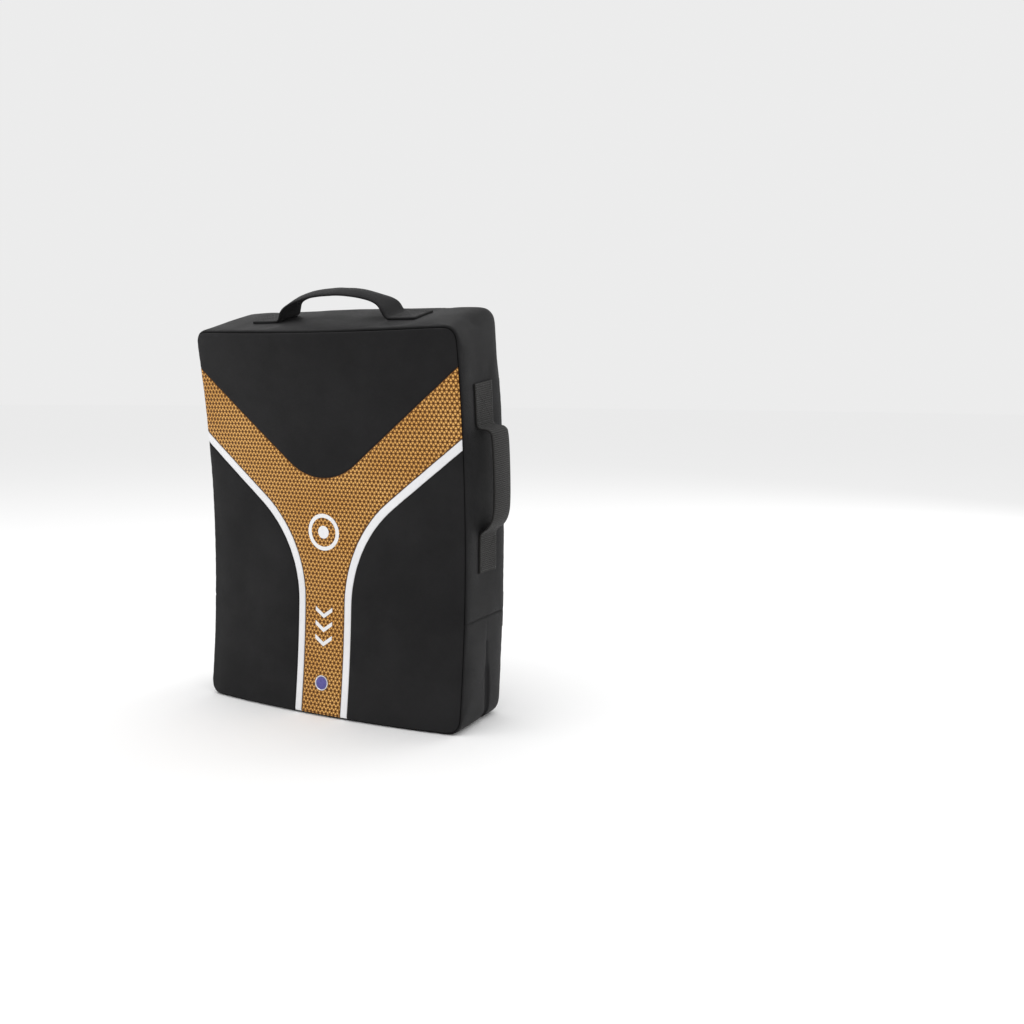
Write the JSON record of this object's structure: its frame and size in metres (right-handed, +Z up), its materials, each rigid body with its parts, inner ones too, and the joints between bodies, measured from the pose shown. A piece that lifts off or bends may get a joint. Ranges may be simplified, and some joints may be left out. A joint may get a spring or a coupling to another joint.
{
  "type": "curved kick shield",
  "caption": "Curved padded strike shield with a sewn cover, carry handle, side loops, rear grip, forearm loops and a zip under the base.",
  "frame": {"origin": "middle of the flat base, on the floor", "axes": "+Z up, striking face towards -Y, +X to the right of someone facing the striking face"},
  "size_m": [0.488, 0.2204, 0.6047],
  "materials": {
    "impact_foam": "matte",
    "core_foam": "matte",
    "back_foam": "matte",
    "black_cover": "satin",
    "welt": "satin",
    "gold_cover": "satin",
    "white_cover": "satin",
    "white_print": "matte",
    "badge": "gloss",
    "webbing": "matte",
    "grip_core": "matte",
    "rivet": "polished",
    "washer": "satin",
    "zip_tape": "matte",
    "zip_coil": "satin",
    "zip_metal": "satin"
  },
  "bodies": {
    "shield": {"impact_foam": "impact_foam", "core_foam": "core_foam", "back_foam": "back_foam", "vee_panel": "black_cover", "gold_panel": "gold_cover", "stripe_left": "white_cover", "stripe_right": "white_cover", "flank_left": "black_cover", "flank_right": "black_cover", "front_welt": "welt", "upper_gusset": "black_cover", "lower_gusset_front": "black_cover", "lower_gusset_rear": "black_cover", "back_welt": "welt", "back_panel": "black_cover", "aim_mark": "white_print", "chevron_marks": "white_print", "badge": "badge", "rear_mark": "white_print", "upper_band": "webbing", "lower_band": "webbing", "forearm_feet_left": "webbing", "forearm_feet_right": "webbing", "side_feet_left": "webbing", "side_feet_right": "webbing", "carry_feet": "black_cover", "grip_plate_left": "black_cover", "grip_plate_right": "black_cover", "rivets": "rivet", "rivet_washers": "washer", "zip_tape_front": "zip_tape", "zip_tape_rear": "zip_tape", "zip_coil": "zip_coil"},
    "carry": {"carry_handle": "black_cover"},
    "grip": {"grip_sleeve": "black_cover", "grip_core": "grip_core"},
    "forearm_left": {"forearm_loop_left": "webbing"},
    "forearm_right": {"forearm_loop_right": "webbing"},
    "side_left": {"side_loop_left": "webbing"},
    "side_right": {"side_loop_right": "webbing"},
    "slider": {"zip_slider": "zip_metal"},
    "pull": {"zip_pull": "zip_metal"}
  },
  "joints": [
    {"name": "carry_fold", "type": "hinge", "parent": "shield", "child": "carry", "pos_m": [0, -0.01592, 0.55941], "axis": [1, 0, 0], "range_deg": [-25, 25]},
    {"name": "grip_tilt", "type": "hinge", "parent": "shield", "child": "grip", "pos_m": [0, 0.06898, 0.48667], "axis": [1, 0, 0], "range_deg": [-15, 15]},
    {"name": "forearm_left_swing", "type": "hinge", "parent": "shield", "child": "forearm_left", "pos_m": [-0.1, 0.08511, 0.264], "axis": [0, 0, 1], "range_deg": [-15, 15]},
    {"name": "forearm_right_swing", "type": "hinge", "parent": "shield", "child": "forearm_right", "pos_m": [0.1, 0.08511, 0.264], "axis": [0, 0, 1], "range_deg": [-15, 15]},
    {"name": "side_left_swing", "type": "hinge", "parent": "shield", "child": "side_left", "pos_m": [-0.217, 0.01017, 0.34], "axis": [0, 0, 1], "range_deg": [-15, 15]},
    {"name": "side_right_swing", "type": "hinge", "parent": "shield", "child": "side_right", "pos_m": [0.217, 0.01017, 0.34], "axis": [0, 0, 1], "range_deg": [-15, 15]},
    {"name": "zip_run", "type": "slide", "parent": "shield", "child": "slider", "axis": [-1, 0, 0], "range_m": [0, 0.3]},
    {"name": "pull_swing", "type": "hinge", "parent": "slider", "child": "pull", "pos_m": [0.1575, 0.016, 0.00175], "axis": [0, 1, 0], "range_deg": [0, 100]}
  ]
}
